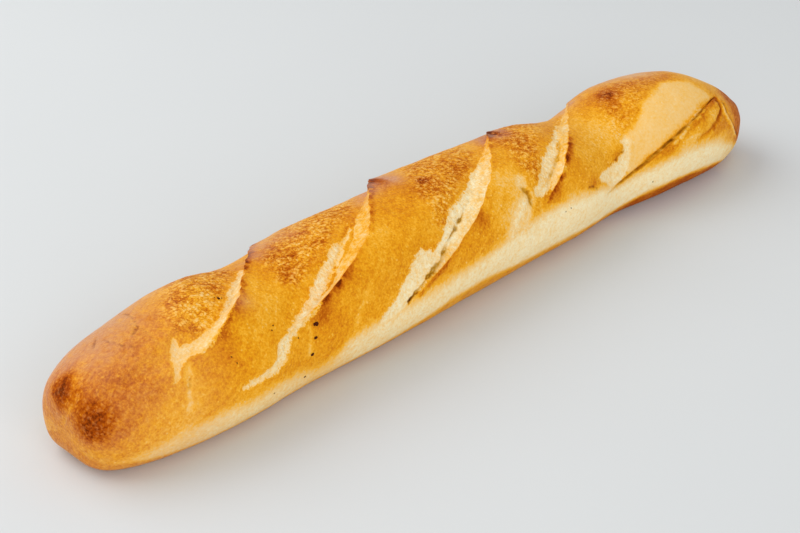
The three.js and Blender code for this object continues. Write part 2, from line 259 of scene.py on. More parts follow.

# Soft patches darker or lighter than the crust round them: place, reach and change of bake
patches = [
    (142, 29, 4, 0.1), (3, -6, 10, 0.3), (6, 34, 11, 0.2), (2, 41, 8, 0.19), (25, 26, 15, 0.09),
    (206, -18, 7, 0.14), (284, -16, 6, 0.14), (100, 20, 11, -0.05), (70, 27, 4, 0.14), (60, 36, 14, 0.04),
    (123, 36, 5, 0.13), (131, 31, 3.5, 0.11), (125, 45, 12, 0.05), (219, 0, 5, 0.2), (212, 6, 4, 0.1),
    (208, 28, 2, 0.25), (228, 34, 5, 0.16), (255, 22, 9, -0.12), (205, -8, 8, 0.08), (285, -10, 7, 0.16),
    (301, 26, 4, 0.14), (304, 21, 3.5, 0.16), (284, 39, 5, 0.13), (335, 5, 15, -0.12), (364, -5, 7, 0.18),
    (357, 10, 6, 0.06), (68, 15, 5, -0.1), (312, 44, 3, 0.15), (344, 33, 3, 0.12), (24, 4, 12, -0.1),
    (428, -4, 15, -0.2), (443, 8, 8, -0.1), (444, 56, 7, 0.3), (413, 52, 5, -0.12), (446, 36, 8, 0.1),
    (188, 38, 8, 0.12), (66, 38, 9, 0.09), (248, 36, 12, -0.1), (385, 45, 9, -0.14), (354, 46, 5, -0.1),
    (338, 37, 4, 0.22), (124, -8, 9, 0.1), (352, -8, 12, 0.06), (335, 22, 10, -0.06), (38, 24, 9, -0.06),
    (35, 54, 12, -0.08), (345, 14, 12, -0.08), (360, 52, 6, 0.06), (290, 46, 6, -0.05), (150, 34, 6, 0.05),
    (206, -24, 6, 0.14), (203, -12, 6, 0.12), (288, -24, 6, 0.14), (173, 4, 6, 0.12), (45, 2, 13, 0.09),
    (62, -6, 8, 0.06), (342, 2, 7, 0.03), (20, 10, 14, 0.06), (30, 2, 9, 0.05), (263, -8, 8, -0.1),
    (278, -3, 5, 0.08), (353, 44, 5, 0.1), (366, 46, 6, 0.08), (158, 16, 5, -0.05), (98, 6, 8, -0.06),
    (45, 40, 10, -0.05), (338, 50, 7, 0.1), (72, -4, 8, -0.05), (66, 15, 5, -0.06), (150, 0, 9, -0.04),
    (170, 18, 8, -0.05), (317, 23, 9, -0.07), (115, 15, 7, 0.04), (205, -20, 6, 0.1), (284, -15, 6, 0.05),
    (35, 53, 9, -0.05), (291, 44, 5, -0.06), (125, 5, 7, 0.05), (235, 0, 8, 0.04), (295, 5, 8, 0.04),
    (203, 2, 8, 0.06), (120, 39, 5, 0.1), (223, 38, 8, 0.05), (218, 1, 3.5, 0.12), (243, 0, 4, 0.08),
    (408, 37.5, 4.5, -0.14), (276, 39.5, 3.5, 0.14), (84, 22, 4, 0.08), (4, 6, 5, 0.09), (130, 3, 3.5, 0.1),
    (97, 22, 7, -0.04), (395, -14, 8, -0.1), (219, -12, 8, -0.05), (113, 40, 7, 0.06), (15, -4, 7, 0.1),
]

# Painted sheen: a dull rosy colour painted where light glances off the smooth crust, with a little real
# sheen too: place, reach and amount
paintedSheenSpots = [
    (14, -20, 18, 0.6), (38, -22, 18, 0.6), (62, -30, 16, 0.4), (24, -2, 9, 0.3), (88, 17, 5, 0.4),
    (124, -20, 8, 0.8), (118, -10, 4, 0.5), (206, -22, 10, 1.1), (208, -12, 6, 0.8), (285, -20, 8, 1.1),
    (284, -12, 6, 0.9), (192, -12, 7, 0.6), (140, -20, 10, 0.5), (400, -15, 8, 0.5), (350, -26, 8, 0.8),
    (396, -24, 14, 0.8), (420, -16, 9, 0.5), (375, -28, 14, 0.5),
]

# The pale side, where the loaf swelled last, and the browner underside: pairs are (along, value) for the
# girths that the pale side lies between, and how baked it and the underside are
sides = {
    "top": [(0, 74), (20, 66), (30, 62), (60, 60), (100, 62), (116, 66), (128, 63), (134, 58), (150, 56),
            (190, 54), (230, 52), (245, 48), (275, 47), (300, 47), (320, 50), (345, 51.5), (380, 50),
            (400, 51), (415, 55), (430, 62), (450, 72)],
    "bottom": [(0, 70), (30, 75), (60, 77), (110, 77), (130, 77), (165, 75), (185, 71), (200, 67.5),
               (230, 67.5), (250, 70), (270, 71.5), (330, 72), (345, 69.5), (360, 67.5), (390, 68),
               (415, 71), (430, 77), (450, 80)],
    "bake": [(0, 0.34), (25, 0.25), (60, 0.16), (100, 0.17), (122, 0.25), (138, 0.11), (200, 0.09),
             (260, 0.07), (410, 0.06), (425, 0.15), (450, 0.35)],
    "underBake": [(0, 0.6), (30, 0.5), (150, 0.5), (240, 0.5), (290, 0.54), (330, 0.64), (350, 0.8),
                  (415, 0.8), (435, 0.55), (450, 0.55)],
    "soft": 5,
    "underSoft": 3,
    "uneven": 2.2,
}


def smoothStep(low, high, x):
    t = np.clip((x - low) / (high - low), 0, 1)
    return t * t * (3 - 2 * t)


def pairsAt(pairs, x):
    if np.isscalar(pairs):
        return pairs
    places, values = zip(*pairs)
    return np.interp(x, places, values)


# A smooth curve through evenly spaced values, at t from 0 to 1
def throughValues(values, t):
    values = np.asarray(values, float)
    place = np.clip(t, 0, 1) * (len(values) - 1)
    i = np.minimum(place.astype(int), len(values) - 2)
    f = place - i
    a, b, c, d = (values[np.clip(i + k, 0, len(values) - 1)] for k in (-1, 0, 1, 2))
    return b + 0.5 * f * (c - a + f * (2 * a - 5 * b + 4 * c - d + f * (3 * (b - c) + d - a)))


# How full the section is, from 0 at a tip to 1 along the body
def fullness(s):
    full = np.ones_like(s)
    for distance, (length, bluntness) in ((s, loaf["roundTip"]), (loaf["length"] - s, loaf["foldedTip"])):
        gone = np.clip(1 - distance / length, 0, 1)
        full = full * (1 - gone**bluntness) ** (1 / bluntness)
    return full


# Half a section of the loaf, from the crown over the waist to the middle of the sole: side, height and
# share of its length
def halfSection(steps=96):
    a = np.linspace(0, math.pi / 2, steps)
    power = 2 / loaf["crownFullness"]
    waist, sole = loaf["waistShare"], loaf["soleShare"]
    side = np.concatenate([np.sin(a) ** power, sole + (1 - sole) * np.cos(a), [0]])
    upper, lower = waist + (1 - waist) * np.cos(a).clip(0) ** power, waist * (1 - np.sin(a))
    height = np.concatenate([upper, lower, [0]])
    lengths = np.cumsum(np.hypot(np.diff(side), np.diff(height) * 2 * loaf["heightShare"]))
    return side, height, np.concatenate([[0], lengths / lengths[-1]])


sectionSide, sectionHeight, sectionShare = halfSection()
# lengthwise table: places along the loaf, and the distance to them over the crust
tablePlaces = 8001
tableAlong = loaf["length"] / 2 * (1 - np.cos(np.linspace(0, math.pi, tablePlaces)))
tableFull = fullness(tableAlong)
tableOver = np.concatenate([[0], np.cumsum(np.hypot(
    np.diff(tableAlong), loaf["halfWidths"][0] * np.diff(tableFull)))])


def smoothPlace(s, g):
    share = np.abs(g) / loaf["halfGirth"]
    side = np.interp(share, sectionShare, sectionSide)
    height = np.interp(share, sectionShare, sectionHeight)
    halfWidth = throughValues(loaf["halfWidths"], s / loaf["length"])
    full = fullness(s)
    crown = 2 * halfWidth * loaf["heightShare"]
    low = crown * loaf["waistShare"] * (1 - full) ** loaf["tipLift"]
    high = crown * (loaf["waistShare"] + (1 - loaf["waistShare"]) * full ** loaf["tipDrop"])
    t = 2 * s / loaf["length"] - 1
    even, turned = loaf["bend"]
    middle = even * (t * t - 1 / 3) + turned * (t**3 - 0.6 * t)
    y = middle - np.sign(g) * side * halfWidth * full
    return np.stack([s - loaf["length"] / 2, y, low + (high - low) * height], -1)


def unit(vectors):
    return vectors / np.maximum(np.linalg.norm(vectors, axis=-1, keepdims=True), 1e-9)


# Directions on the smooth loaf: lengthwise, round towards -Y, and outward
def smoothDirections(s, g):
    step = 0.5
    over = np.clip(np.interp(s, tableAlong, tableOver), 1.5 * step, tableOver[-1] - 1.5 * step)
    ahead = np.interp(over + step, tableOver, tableAlong)
    behind = np.interp(over - step, tableOver, tableAlong)
    here = np.interp(over, tableOver, tableAlong)
    lengthwise = unit(smoothPlace(ahead, g) - smoothPlace(behind, g))
    around = unit(smoothPlace(here, g + step) - smoothPlace(here, g - step))
    return lengthwise, around, unit(np.cross(around, lengthwise))


# A ragged line: a few waves that don't repeat together, the same each time for one seed
def ragged(t, seed, sizes=(13, 7.1, 4.3, 2.6), heights=(0.5, 0.36, 0.3, 0.2)):
    phases = np.random.default_rng(seed).uniform(0, 2 * math.pi, len(sizes))
    return sum(h * np.sin(2 * math.pi * t / w + p) for w, h, p in zip(sizes, heights, phases))


# Where a slash's ear is at a girth, and how far it runs lengthwise for each millimetre of girth
def earAt(slash, g):
    inside = np.clip(g, slash["back"], slash["front"])
    swing = np.maximum(inside - slashShape["straightGirth"], 0)
    wander = slashShape["raggedness"] * ragged(g, slash["crown"])
    return slash["crown"] - inside - slash["lean"] * swing**2 + wander, 1 + 2 * slash["lean"] * swing


# Distance of each point to a path, and how far along the path its nearest point is, from 0 to 1
def pathDistance(path, s, g):
    nearest, place = np.full(s.shape, 1e9), np.zeros(s.shape)
    count = len(path) - 1
    for i, ((s0, g0), (s1, g1)) in enumerate(zip(path, path[1:])):
        ds, dg = s1 - s0, g1 - g0
        t = np.clip(((s - s0) * ds + (g - g0) * dg) / (ds * ds + dg * dg), 0, 1)
        distance = np.hypot(s - s0 - t * ds, g - g0 - t * dg)
        closer = distance < nearest
        nearest = np.where(closer, distance, nearest)
        place = np.where(closer, (i + t) / count, place)
    return nearest, place


# Distance of each point into an outline, negative outside it
def depthInside(outline, s, g):
    nearest, _ = pathDistance(outline + outline[:1], s, g)
    inside = np.zeros(s.shape, bool)
    for (s0, g0), (s1, g1) in zip(outline, outline[1:] + outline[:1]):
        crosses = (g0 > g) != (g1 > g)
        if g1 != g0:
            inside ^= crosses & (s < s0 + (g - g0) * (s1 - s0) / (g1 - g0))
    return np.where(inside, nearest, -nearest)


def noiseAt(places, size, octaves=1):
    return np.array([noise.fractal(Vector(p) / size, 1.0, 2.0, octaves) for p in places.tolist()])


# Soft spots added up: each is a place as (along, girth), a reach and an amount
def spotsAt(spots, places):
    total = np.zeros(len(places))
    for along, girth, reach, amount in spots:
        centre = smoothPlace(np.array([along], float), np.array([girth], float))[0]
        total += amount * np.exp(-(np.linalg.norm(places - centre, axis=1) / reach) ** 2)
    return total


# Mesh points on the crust as (along, girth), evenly spaced on the loaf, with rows beside each ear and crack
def crustPoints():
    inside = tableFull >= loaf["tipRing"]
    start, end = tableOver[inside][0], tableOver[inside][-1]
    rowCount = int((end - start) / (loaf["step"] * 0.866))  # the height of an even triangle
    rowCount -= rowCount % 3
    rows = np.interp(np.linspace(start, end, rowCount + 1), tableOver, tableAlong)
    edge, sole = loaf["soleEdge"], loaf["halfGirth"] - loaf["soleEdge"]
    points = []
    for i, s in enumerate(rows):
        full = float(fullness(rows[i:i + 1])[0])
        count = max(int(2 * edge * full / loaf["step"]), 6)
        g = (np.arange(count) + (0.25 if i % 2 else 0.75)) / count * 2 * edge - edge
        if i % 3 == 0:
            soleCount = max(int(sole * full / loaf["soleStep"]), 1)
            under = edge + (np.arange(soleCount) + 1) / soleCount * sole
            g = np.concatenate([-under[::-1], g, under])
        points.append(np.stack([np.full(len(g), s), g], -1))
    base = np.concatenate(points)
    keep = np.ones(len(base), bool)
    extra = []
    offsets, margin = slashShape["rows"], slashShape["margin"]
    for slash in slashes:
        ear, slope = earAt(slash, base[:, 1])
        across = (base[:, 0] - ear) / np.hypot(1, slope)
        near = (base[:, 1] > slash["back"] - 1) & (base[:, 1] < slash["front"] + 1)
        keep &= ~(near & (across > offsets[0] - margin) & (across < offsets[-1] + margin))
        g = np.linspace(slash["back"] - margin, slash["front"] + margin, 4000)
        _, slope = earAt(slash, g)
        run = np.concatenate([[0], np.cumsum(np.hypot(1, slope[1:]) * np.diff(g))])
        g = np.interp(np.arange(0, run[-1], loaf["earStep"]), run, g)
        ear, slope = earAt(slash, g)
        extra += [np.stack([ear + offset * np.hypot(1, slope), g], -1) for offset in offsets]
    crack = streaks["bandThreeCrack"]["path"]
    distance, _ = pathDistance(crack, base[:, 0], base[:, 1])
    keep &= distance > loaf["crackMargin"]
    for (s0, g0), (s1, g1) in zip(crack, crack[1:]):
        length = math.hypot(s1 - s0, g1 - g0)
        count = int(length / loaf["earStep"])
        t = (np.arange(count) + 0.5) / count
        for offset in loaf["crackRows"]:
            aside = np.array([-(g1 - g0), s1 - s0]) / length * offset
            extra.append(np.stack([s0 + t * (s1 - s0) + aside[0], g0 + t * (g1 - g0) + aside[1]], -1))
    return np.concatenate([base[keep]] + extra), rows


# Where each point of the crust is, with the relief of the slashes and tears, and what the material reads:
# how baked, how pale and floury, how much painted shade darkens a crack or crease, how blistered, how much
# painted sheen, how rough with crumbs, where bared dough covers the crust, how baked that dough is, and the
# place on the crust
def crustForm(s, g):
    lengthwise, around, outward = smoothDirections(s, g)
    place = smoothPlace(s, g)
    aside = np.abs(g)
    soleFade = 1 - smoothStep(*loaf["soleFade"], aside)
    uneven = noiseAt(place, *loaf["uneven"])
    grain = noiseAt(place, *loaf["grain"])
    lumps = noiseAt(place, loaf["lumps"][0])
    height = loaf["lumps"][1] * lumps + loaf["dimples"][1] * noiseAt(place, loaf["dimples"][0])
    shift = np.zeros_like(place)
    paintedShade = np.zeros_like(s)

    # the crown bakes brownest, the round tip more so
    crown = smoothStep(*baking["crownStart"], s) * (1 - smoothStep(*baking["crownEnd"], s))
    crown *= 1 - smoothStep(*baking["crownGirth"], aside)
    roundTip = 1 - smoothStep(*baking["roundTipEnd"], s)
    roundTip *= 1 - smoothStep(*baking["roundTipGirth"], aside)
    bake = baking["crust"] + baking["crown"] * crown + baking["uneven"] * uneven
    bake += baking["roundTip"] * roundTip + spotsAt(patches, place)
    # painted sheen: a rosy colour where light glances off the smooth crust, some all over the round tip
    paintedSheen = spotsAt(paintedSheenSpots, place) + baking["tipPaintedSheen"] * (1 - smoothStep(*baking["tipPaintedSheenEnd"], s))
    paintedSheen *= 1 + 0.5 * grain

    # the pale side and the underside
    top, bottom = pairsAt(sides["top"], s), pairsAt(sides["bottom"], s)
    depth = np.minimum(aside - top, (bottom - aside) * 1.6) + sides["uneven"] * uneven
    side = smoothStep(-sides["soft"], sides["soft"], depth)
    under = smoothStep(-sides["underSoft"], sides["underSoft"], aside - bottom - 1 + 1.2 * uneven)
    bake = bake * (1 - side) + pairsAt(sides["bake"], s) * side
    bake = bake * (1 - under) + (pairsAt(sides["underBake"], s) + 0.06 * uneven) * under
    pale = side * (1 - under)

    blister = baking["tipBlister"] * (1 - smoothStep(*baking["tipBlisterEnd"], s))
    for amount, outline in blisteredAreas:
        depth = depthInside(outline, s, g) + 3 * uneven
        blister = np.maximum(blister, amount * smoothStep(-4, 4.5, depth))

    # bared dough: where it covers the crust, and how baked it is there and just outside
    edge, cover, inside = np.zeros_like(s), np.zeros_like(s), np.full_like(s, baking["wall"])
    wallCrumb = 0.4 * pale
    for slash in slashes:
        ear, slope = earAt(slash, g)
        u = (s - ear) / np.hypot(1, slope)
        fade = smoothStep(slash["back"], slash["back"] + slashShape["taper"], g)
        fade *= 1 - smoothStep(slash["front"] - slashShape["taper"], slash["front"], g)
        wall, edgeHere = pairsAt(slash["wall"], g), pairsAt(slash["edge"], g)
        edgeHere = edgeHere * smoothStep(slash["back"] - 2, slash["back"] + 5, g)
        climb = np.clip(u / wall + 1, 0, 1) ** slashShape["climb"]
        low = -slash["sink"] * np.maximum(1 + np.minimum(u, 0) / slash["hollow"], 0)
        high = slash["lift"] * np.exp(-((np.maximum(u, 0) / slash["settle"]) ** 2))
        lip = slashShape["lip"] * edgeHere * np.exp(-np.maximum(u, 0) / slashShape["lipReach"])
        height += fade * (low + (high + lip - low) * climb)
        back = np.clip(1 - u / slashShape["rollBack"], 0, 1) ** 2 * climb**2
        over = (lengthwise + slope[:, None] * around) / np.hypot(1, slope)[:, None]
        shift -= (fade * pairsAt(slash["curl"], g) * back)[:, None] * over
        onWall = fade * smoothStep(-wall - 1, -wall + 1, u) * (1 - smoothStep(-0.5, 0.3, u))
        near = smoothStep(-wall - 5, -wall - 1, u) * (1 - smoothStep(1, 3, u)) * (fade > 0)
        inside = inside * (1 - near) + (pairsAt(slash["wallBake"], g) + 0.1 * grain) * near
        cover = np.maximum(cover, onWall)
        paintedSheen *= 1 - 0.7 * onWall
        faded = np.exp(-((np.maximum(u - 0.3, 0) / slashShape["edgeReach"]) ** 2))
        edge = np.maximum(edge, edgeHere * faded * smoothStep(-1, -0.1, u))
        wallCrumb = np.maximum(wallCrumb, onWall)

    for name, area in areas.items():
        soft = area["soft"]
        depth = depthInside(area["outline"], s, g) + 1.5 * grain + 0.8 * uneven * soft
        amount = smoothStep(-soft, soft, depth)
        bakeHere = area["bake"] + 0.07 * area["crumb"] * grain
        if soft <= 2:
            near = smoothStep(-5, -soft, depth) * (1 - cover) + amount * cover
            inside = inside * (1 - near) + bakeHere * near
            cover = np.maximum(cover, np.clip(0.5 + depth / (2.4 * soft), 0, 1))
        else:
            bake, inside = (values * (1 - amount) + bakeHere * amount for values in (bake, inside))
        wallCrumb = np.maximum(wallCrumb * (1 - amount), area["crumb"] * amount)
        pale = np.maximum(pale * (1 - amount), area["pale"] * amount)
        blister *= 1 - 0.8 * amount
        height -= area["depth"] * smoothStep(-1, 1.5, depth)

    # darker crust gets no painted sheen
    paintedSheen *= 1 - smoothStep(*baking["paintedSheenEnd"], bake)
    bakes = np.stack([bake, inside]) + baking["edge"] * edge * (0.75 + 1.1 * grain)
    for name, streak in streaks.items():
        distance, t = pathDistance(streak["path"], s, g)
        distance = np.abs(distance + 0.9 * grain)
        width = streak["width"] * (1 + 0.3 * ragged(50 * t, len(name)))
        strength = np.exp(-((distance / width) ** 2))
        height -= streak["depth"] * strength
        bakes += pairsAt(streak.get("bake", 0), t) * strength
        amount = streak.get("pale", 0) * strength * (0.9 + 0.7 * grain)
        bakes = bakes * (1 - amount) + baking["paleStreak"] * amount
        pale = np.maximum(pale, amount)
        # painted shade inside a tear or crease
        core = np.exp(-((distance / (0.75 * width)) ** 2))
        paintedShade = np.maximum(paintedShade, pairsAt(streak.get("paintedShade", 0), t) * core)

    # the slit beside the last ear: sunk, with painted shade inside it
    ear, slope = earAt(slashes[-1], g)
    u = (s - ear) / np.hypot(1, slope)
    half = pairsAt(slit["halfWidth"], g) * (1 + slit["raggedness"] * ragged(1.3 * g, 3))
    opening = np.exp(-(((u + half) / half) ** 2))
    opening *= smoothStep(*slit["start"], g) * (1 - smoothStep(*slit["end"], g))
    height -= slit["depth"] * opening
    paintedShade = np.maximum(paintedShade, opening * (0.62 + 0.5 * grain))
    # the painted shade in cracks and creases also browns them
    bake, inside = bakes + baking["crack"] * paintedShade

    height += loaf["crumbs"][1] * wallCrumb * noiseAt(place, loaf["crumbs"][0])
    height *= soleFade
    position = place + outward * height[:, None] + shift
    position[:, 2] = np.maximum(position[:, 2], 0)
    blister *= soleFade * (1 - 0.6 * paintedSheen.clip(0, 1))
    fields = {"bake": bake, "pale": pale, "paintedShade": paintedShade, "blister": blister, "paintedSheen": paintedSheen,
              "crumb": wallCrumb, "cover": cover, "inside": inside}
    fields = {name: np.clip(values, 0, 1) for name, values in fields.items()}
    fields["along"], fields["girth"] = s.copy(), g.copy()
    return position, fields


def loafMesh():
    points, rows = crustPoints()
    # the loaf unrolled flat, so that the triangles are even on it
    stretch = np.maximum(0.5 * (tableFull[1:] + tableFull[:-1]), 0.02)
    flatAlong = np.concatenate([[0], np.cumsum(np.diff(tableOver) / stretch)])
    flat = np.stack([np.interp(points[:, 0], tableAlong, flatAlong), points[:, 1]], -1)
    flat = [Vector(place) for place in flat.tolist()]
    _, _, triangles, origins, _, _ = delaunay_2d_cdt(flat, [], [], 0, 1e-5)
    points = points[np.array([o[0] for o in origins])]
    triangles = np.array(triangles)
    # the seam under the sole: points at plus half girth become those at minus half girth
    half = loaf["halfGirth"]
    seam = {round(s, 5): i for i, (s, g) in enumerate(points.tolist()) if g <= -half + 1e-6}
    swap = np.arange(len(points))
    for i, (s, g) in enumerate(points.tolist()):
        if g >= half - 1e-6:
            swap[i] = seam[round(s, 5)]
    triangles = swap[triangles][:, ::-1]
    position, fields = crustForm(points[:, 0], points[:, 1])
    # closing points at the tips
    faces = [triangles]
    for isEnd, s in ((0, rows[0]), (1, rows[-1])):
        ring = np.nonzero((np.abs(points[:, 0] - s) < 1e-6) & (points[:, 1] < half - 1e-6))[0]
        ring = ring[np.argsort(points[ring, 1])]
        position = np.concatenate([position, position[ring].mean(0)[None]])
        fields = {name: np.append(values, values[ring].mean()) for name, values in fields.items()}
        fan = np.stack([np.full(len(ring), len(position) - 1), ring, np.roll(ring, -1)], -1)
        faces.append(fan if isEnd else fan[:, ::-1])
    triangles = np.concatenate(faces)
    used = np.unique(triangles)
    index = np.zeros(len(position), int)
    index[used] = np.arange(len(used))
    # the crust's box stands where the CAD loaf's box does
    place = position[used] * mm
    low, high = place.min(0), place.max(0)
    offset = (np.array(boxLow) + np.array(boxHigh) - low - high) / 2
    offset[2] = boxLow[2] - low[2]
    print("moved onto the CAD box by", np.round(offset / mm, 2), "mm")
    mesh = bpy.data.meshes.new("loafCrust")
    mesh.from_pydata((place + offset).tolist(), [], index[triangles].tolist())
    for name, values in fields.items():
        attribute = mesh.attributes.new(name, "FLOAT", "POINT")
        attribute.data.foreach_set("value", values[used].astype(np.float32))
    mesh.shade_smooth()
    print("loaf crust", len(used), "points", len(triangles), "triangles")
    return mesh, offset


def linearColor(code):
    parts = [int(code[i:i + 2], 16) / 255 for i in (1, 3, 5)]
    return tuple(p / 12.92 if p <= 0.04045 else ((p + 0.055) / 1.055) ** 2.4 for p in parts) + (1.0,)


# Adds a node and gives its output: inputs are values, or the outputs that feed them
def add(tree, kind, inputs=None, out=0, **settings):
    node = tree.nodes.new(kind)
    for name, value in settings.items():
        setattr(node, name, value)
    for socket, value in (inputs or {}).items():
        if isinstance(value, bpy.types.NodeSocket):
            tree.links.new(value, node.inputs[socket])
        else:
            node.inputs[socket].default_value = value
    return node.outputs[out] if len(node.outputs) else node


def newMaterial(name):
    material = bpy.data.materials.new(name)
    material.use_nodes = True
    material.node_tree.nodes.clear()
    return material, material.node_tree


# Fine blisters in millimetres, drawn a little coarser than the finest real ones so that they show
blisterPlan = {"size": 3.4, "height": 0.45}
crustLook = {
    "baked": [  # from pale dough to char
        (0.0, "#f4e4bb"), (0.1, "#f2d7a0"), (0.2, "#f1c883"), (0.3, "#f1bd62"), (0.4, "#f1ae2e"),
        (0.5, "#e69b10"), (0.6, "#d8860f"), (0.7, "#c66f0f"), (0.8, "#b0560a"), (0.9, "#963f06"),
        (1.0, "#692905")],
    # the rosy colour below is painted sheen, and the crack colour is painted shade inside cracks and
    # creases
    "blisterTops": "#eec27e", "paintedSheen": "#c98f69", "crack": "#5c400f",
    "noises": {  # size in millimetres, detail, and the lowest and highest value used
        "blotch": (11, 2, 0.32, 0.68), "mottle": (2.6, 3, 0.34, 0.66),
        "fine": (1.1, 2, 0.34, 0.66), "crumbs": (1.7, 2, 0.4, 0.6)},
    "streak": (3.2, 11),  # width and length of the streaks that run with the slashes
    "speck": 2.3,
    "relief": 0.3,
    "ior": 1.36,
}


# Fine blisters: 0 between them and 1 on their tops, the same for the mesh and the material
def blisterPattern(tree, place, scale):
    raw = add(tree, "ShaderNodeTexNoise", {"Vector": place, "Scale": scale, "Detail": 2.0, "Roughness": 0.5,
                                           "Distortion": 1.3})
    apart = add(tree, "ShaderNodeMath", {0: raw, 1: 0.5}, operation="SUBTRACT")
    apart = add(tree, "ShaderNodeMath", {0: apart}, operation="ABSOLUTE")
    lines = add(tree, "ShaderNodeMapRange", {"Value": apart, "From Max": 0.08, "To Max": 0.45})
    finer = add(tree, "ShaderNodeMath", {0: scale, 1: 1.5}, operation="MULTIPLY")
    wavy = add(tree, "ShaderNodeTexNoise", {"Vector": place, "Scale": finer, "Detail": 1.0}, out="Color")
    wavy = add(tree, "ShaderNodeVectorMath", {0: wavy, 1: (0.5, 0.5, 0.5)}, operation="SUBTRACT")
    reach = add(tree, "ShaderNodeMath", {0: 0.9, 1: scale}, operation="DIVIDE")
    wavy = add(tree, "ShaderNodeVectorMath", {0: wavy, "Scale": reach}, operation="SCALE")
    wavy = add(tree, "ShaderNodeVectorMath", {0: place, 1: wavy}, operation="ADD")
    cells = add(tree, "ShaderNodeTexVoronoi", {"Vector": wavy, "Scale": finer}, out="Distance")
    grains = add(tree, "ShaderNodeMapRange", {"Value": cells, "From Min": 0.15, "From Max": 0.7,
                                              "To Min": 0.55, "To Max": 0.0})
    return add(tree, "ShaderNodeMath", {0: lines, 1: grains}, operation="ADD")


# Baked crust: dull golden brown, floury and matt where the dough was laid bare
def bakedCrust():
    material, tree = newMaterial("bakedCrust")
    where = add(tree, "ShaderNodeTexCoord", out="Object")
    field = {name: add(tree, "ShaderNodeAttribute", out="Fac", attribute_name=name)
             for name in ("bake", "pale", "paintedShade", "blister", "paintedSheen", "crumb", "cover", "inside",
                          "along", "girth")}

    # finer than the mesh: noise from -1 to 1
    grains = {}
    for name, (size, detail, low, high) in crustLook["noises"].items():
        raw = add(tree, "ShaderNodeTexNoise", {"Vector": where, "Scale": 1 / (size * mm), "Detail": detail,
                                               "Roughness": 0.55})
        grains[name] = add(tree, "ShaderNodeMapRange", {"Value": raw, "From Min": low, "From Max": high,
                                                        "To Min": -1.0, "To Max": 1.0})
    # streaks that run with the slashes
    width, length = crustLook["streak"]
    lean = add(tree, "ShaderNodeMath", {0: field["along"], 1: field["girth"]}, operation="ADD")
    place = add(tree, "ShaderNodeCombineXYZ", {0: lean, 1: field["girth"]})
    place = add(tree, "ShaderNodeVectorMath", {0: place, 1: (1 / width, 1 / length, 1)},
                operation="MULTIPLY")
    raw = add(tree, "ShaderNodeTexNoise", {"Vector": place, "Scale": 1.0, "Detail": 2.0})
    streaky = add(tree, "ShaderNodeMapRange", {"Value": raw, "From Min": 0.34, "From Max": 0.66,
                                               "To Min": -1.0, "To Max": 1.0})

    # how lively the fine colour is: full on crust, little on smooth pale dough
    smooth = add(tree, "ShaderNodeMath", {0: field["pale"], 1: field["crumb"]}, operation="SUBTRACT",
                 use_clamp=True)
    lively = add(tree, "ShaderNodeMapRange", {"Value": smooth, "To Min": 1.0, "To Max": 0.5})
    # brown lines between the blisters, their tops a little lighter
    tops = blisterPattern(tree, where, 1 / (blisterPlan["size"] * mm))
    veins = add(tree, "ShaderNodeMapRange", {"Value": tops, "From Min": 0.1, "From Max": 0.9,
                                             "To Min": 1.0, "To Max": -0.7})
    veins = add(tree, "ShaderNodeMath", {0: field["blister"], 1: veins}, operation="MULTIPLY")
    # small light specks, where the skin of the crust lifted
    cells = add(tree, "ShaderNodeTexVoronoi", {"Vector": where, "Scale": 1 / (crustLook["speck"] * mm)},
                out="Distance")
    speck = add(tree, "ShaderNodeMapRange", {"Value": cells, "From Min": 0.1, "From Max": 0.32,
                                             "To Min": 1.0, "To Max": 0.0})
    chosen = add(tree, "ShaderNodeSeparateColor", {"Color": cells.node.outputs["Color"]})
    chosen = add(tree, "ShaderNodeMapRange", {"Value": chosen, "From Min": 0.5, "From Max": 0.8})
    speck = add(tree, "ShaderNodeMath", {0: speck, 1: chosen}, operation="MULTIPLY")

    blotchy = add(tree, "ShaderNodeMath", {0: field["blister"], 1: 0.07, 2: 0.02}, operation="MULTIPLY_ADD")
    fine = add(tree, "ShaderNodeMath", {0: grains["blotch"], 1: blotchy}, operation="MULTIPLY")
    for source, amount in ((veins, 0.22), (speck, -0.13), (grains["mottle"], 0.042),
                           (grains["fine"], 0.065), (streaky, 0.03)):
        fine = add(tree, "ShaderNodeMath", {0: source, 1: amount, 2: fine}, operation="MULTIPLY_ADD")
    # bared dough ends in a crisp ragged line with a faint browner rim
    torn = field["cover"]
    for source, amount in ((grains["mottle"], 0.1), (grains["fine"], 0.19)):
        torn = add(tree, "ShaderNodeMath", {0: source, 1: amount, 2: torn}, operation="MULTIPLY_ADD")
    laidBare = add(tree, "ShaderNodeMapRange", {"Value": torn, "From Min": 0.28, "From Max": 0.72},
                   interpolation_type="SMOOTHSTEP")
    rim = add(tree, "ShaderNodeMapRange", {"Value": torn, "From Min": 0.2, "From Max": 0.4})
    rim = add(tree, "ShaderNodeMath", {0: rim, 1: laidBare}, operation="SUBTRACT")
    fine = add(tree, "ShaderNodeMath", {0: rim, 1: 0.06, 2: fine}, operation="MULTIPLY_ADD")
    crumbs = add(tree, "ShaderNodeMath", {0: grains["crumbs"], 1: field["crumb"]}, operation="MULTIPLY")
    bake = add(tree, "ShaderNodeMix", {0: laidBare, 2: field["bake"], 3: field["inside"]})
    for source, amount in ((fine, lively), (crumbs, 0.05)):
        bake = add(tree, "ShaderNodeMath", {0: source, 1: amount, 2: bake}, operation="MULTIPLY_ADD")

    color = add(tree, "ShaderNodeValToRGB", {"Fac": bake}, out="Color")
    ramp = color.node.color_ramp
    while len(ramp.elements) < len(crustLook["baked"]):
        ramp.elements.new(0.5)
    for element, (place, code) in zip(ramp.elements, crustLook["baked"]):
        element.position, element.color = place, linearColor(code)
